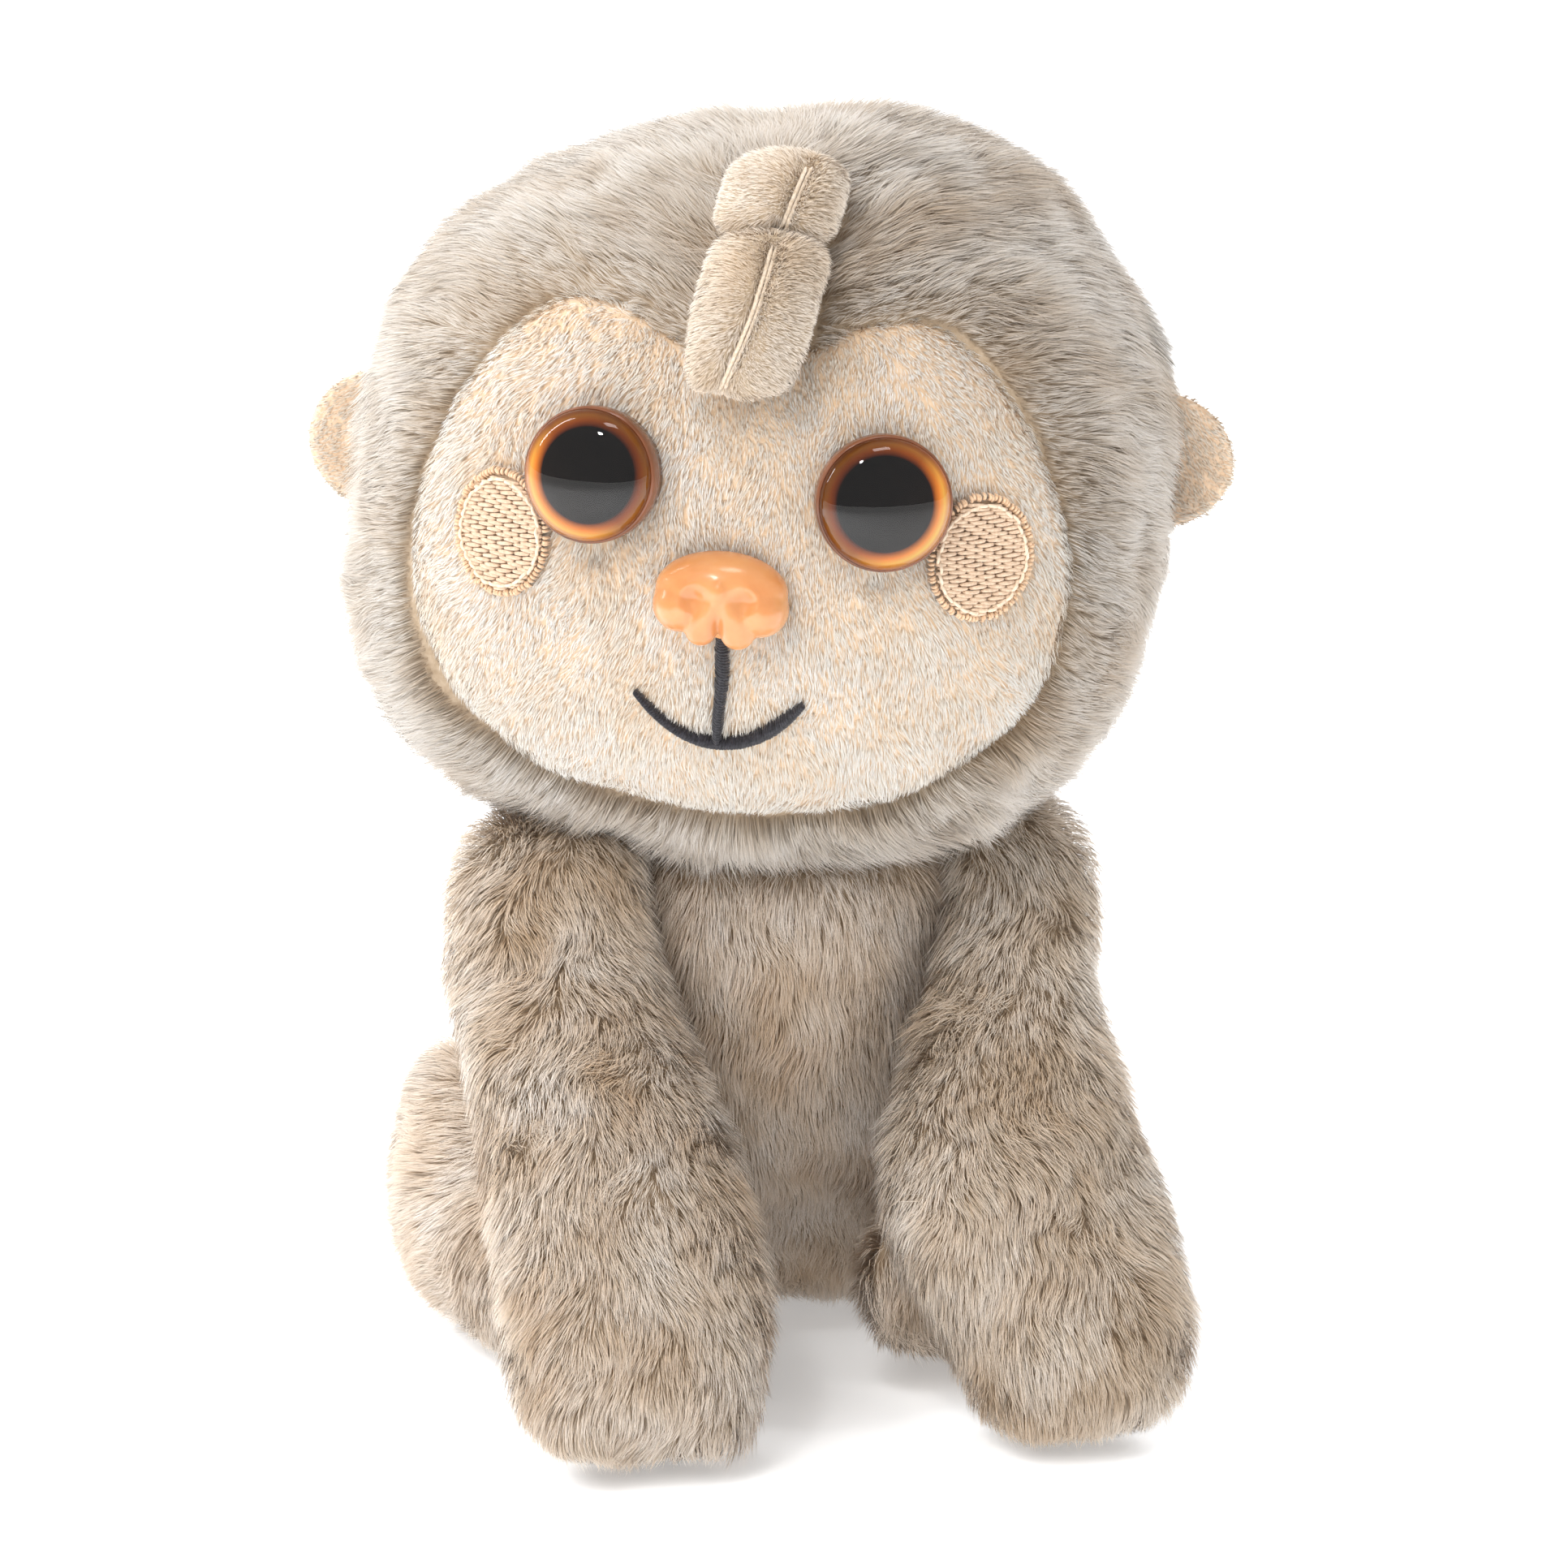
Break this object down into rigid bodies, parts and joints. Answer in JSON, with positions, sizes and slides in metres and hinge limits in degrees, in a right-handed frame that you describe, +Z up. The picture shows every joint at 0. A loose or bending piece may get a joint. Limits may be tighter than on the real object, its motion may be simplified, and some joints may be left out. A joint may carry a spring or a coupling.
{
  "type": "stuffed monkey",
  "caption": "Small seated plush monkey with a large round furry head, pale flat face, domed amber eyes, vinyl nose, gathered forelock and straight front limbs.",
  "frame": {"origin": "on the floor, under the middle of the bounding box", "axes": "+Z up, the toy faces -Y, its own left side is at +X"},
  "size_m": [0.1101, 0.097, 0.1578],
  "materials": {
    "head_fur": "long pile plush, pale greige",
    "body_fur": "medium pile plush, warm grey-beige",
    "face_plush": "short pile plush, cream",
    "ear_plush": "short pile plush, peach",
    "stuffing": "polyester fibre filling",
    "pellets": "plastic pellets in a thin pouch",
    "eye_lens": "clear acrylic dome, amber beneath",
    "eye_back": "black moulded plastic",
    "washer": "white moulded plastic",
    "nose_vinyl": "soft glossy vinyl, peach orange",
    "mouth_thread": "black embroidery thread",
    "cheek_thread": "satin-stitched thread, pale peach",
    "sewing_thread": "sewing thread",
    "label_tape": "blank white woven tape"
  },
  "bodies": {
    "torso": {"body_front": "body_fur", "body_back": "body_fur", "body_stuffing": "stuffing", "pellet_bag": "pellets", "care_label": "label_tape"},
    "neck": {"neck_thread": "sewing_thread"},
    "head": {"head_cover": "head_fur", "face_panel": "face_plush", "head_stuffing": "stuffing", "nose": "nose_vinyl", "nose_stem": "nose_vinyl", "nose_washer": "washer", "mouth_line": "mouth_thread", "mouth_smile": "mouth_thread", "eye_lens_left": "eye_lens", "eye_stem_left": "eye_back", "eye_washer_left": "washer", "cheek_patch_left": "cheek_thread", "eye_lens_right": "eye_lens", "eye_stem_right": "eye_back", "eye_washer_right": "washer", "cheek_patch_right": "cheek_thread"},
    "forelock": {"forelock_upper": "head_fur", "forelock_lower": "head_fur", "forelock_tie": "sewing_thread"},
    "arm_left": {"arm_cover_left": "body_fur", "arm_stuffing_left": "stuffing"},
    "leg_left": {"leg_cover_left": "body_fur", "leg_stuffing_left": "stuffing"},
    "ear_left": {"ear_inner_left": "ear_plush", "ear_outer_left": "head_fur"},
    "arm_right": {"arm_cover_right": "body_fur", "arm_stuffing_right": "stuffing"},
    "leg_right": {"leg_cover_right": "body_fur", "leg_stuffing_right": "stuffing"},
    "ear_right": {"ear_inner_right": "ear_plush", "ear_outer_right": "head_fur"}
  },
  "joints": [
    {"name": "neck_turn", "type": "hinge", "parent": "torso", "child": "neck", "pos_m": [-0.0001, 0.0051, 0.0673], "axis": [0, 0, 1], "range_deg": [-20, 20], "stiffness_Nm_per_rad": 0.6},
    {"name": "neck_nod", "type": "hinge", "parent": "neck", "child": "head", "pos_m": [-0.0001, 0.0051, 0.0673], "axis": [0.9613, -0.2756, 0], "range_deg": [-8, 8], "stiffness_Nm_per_rad": 2},
    {"name": "shoulder_left", "type": "hinge", "parent": "torso", "child": "arm_left", "pos_m": [0.0329, -0.0029, 0.061], "axis": [-1, 0, 0], "range_deg": [-2, 20], "stiffness_Nm_per_rad": 0.4},
    {"name": "shoulder_right", "type": "hinge", "parent": "torso", "child": "arm_right", "pos_m": [-0.0291, -0.0029, 0.061], "axis": [-1, 0, 0], "range_deg": [-2, 20], "stiffness_Nm_per_rad": 0.4},
    {"name": "hip_left", "type": "hinge", "parent": "torso", "child": "leg_left", "pos_m": [0.0379, 0.0271, 0.02], "axis": [-1, 0, 0], "range_deg": [0, 12], "stiffness_Nm_per_rad": 0.4},
    {"name": "hip_right", "type": "hinge", "parent": "torso", "child": "leg_right", "pos_m": [-0.0341, 0.0271, 0.02], "axis": [-1, 0, 0], "range_deg": [0, 12], "stiffness_Nm_per_rad": 0.4},
    {"name": "ear_left_fold", "type": "hinge", "parent": "head", "child": "ear_left", "pos_m": [0.04701, -0.00649, 0.11629], "axis": [0.0523, 0, 0.9986], "range_deg": [-15, 30], "stiffness_Nm_per_rad": 0.01},
    {"name": "ear_right_fold", "type": "hinge", "parent": "head", "child": "ear_right", "pos_m": [-0.04711, 0.02046, 0.11671], "axis": [-0.0523, 0, -0.9986], "range_deg": [-15, 30], "stiffness_Nm_per_rad": 0.01},
    {"name": "forelock_lift", "type": "hinge", "parent": "head", "child": "forelock", "pos_m": [-0.00174, -0.01879, 0.15549], "axis": [-0.9599, 0.2756, 0.0503], "range_deg": [0, 25], "stiffness_Nm_per_rad": 0.03}
  ]
}
